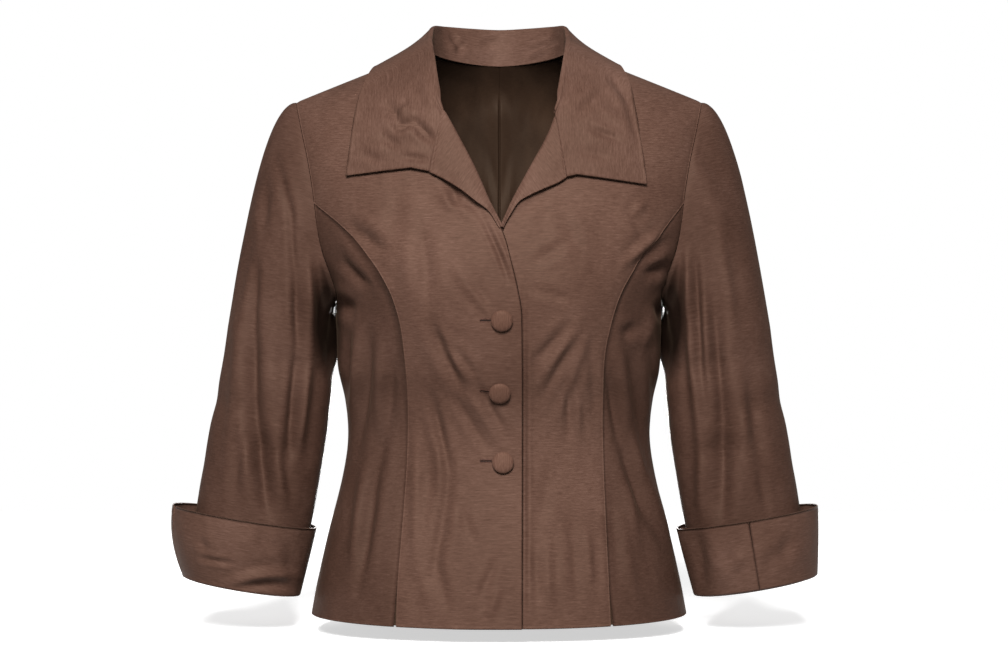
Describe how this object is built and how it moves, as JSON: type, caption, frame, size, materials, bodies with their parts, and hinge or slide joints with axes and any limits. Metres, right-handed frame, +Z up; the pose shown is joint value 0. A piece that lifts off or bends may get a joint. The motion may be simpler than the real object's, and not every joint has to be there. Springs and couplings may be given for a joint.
{
  "type": "women's short fitted suit jacket with turned-back cuffs, filled out as worn",
  "caption": "Short fitted jacket with a wide collar, turned-back cuffs and covered buttons, standing open and hollow as when worn.",
  "frame": {"origin": "between the shoulders, at the height of the shoulder seams' outer ends", "axes": "+X to the wearer's left, +Y to the back, +Z up"},
  "size_m": [0.6437, 0.2561, 0.5949],
  "materials": {
    "shell_cloth": "brown slubbed silk with a soft sheen",
    "trim_cloth": "the same brown slubbed silk, cut on another grain",
    "lining": "smooth dark brown satin",
    "button_cloth": "the same brown silk, stretched over a button"
  },
  "bodies": {
    "root": {"front_right": "shell_cloth", "front_left": "shell_cloth", "side_front_right": "shell_cloth", "side_front_left": "shell_cloth", "back_right": "shell_cloth", "back_left": "shell_cloth", "sleeve_right": "shell_cloth", "sleeve_left": "shell_cloth", "cuff_right": "trim_cloth", "cuff_left": "trim_cloth", "collar": "trim_cloth", "lapel_right": "trim_cloth", "lapel_left": "trim_cloth", "back_lining": "lining", "button_1": "button_cloth", "button_2": "button_cloth", "button_3": "button_cloth"}
  },
  "joints": []
}
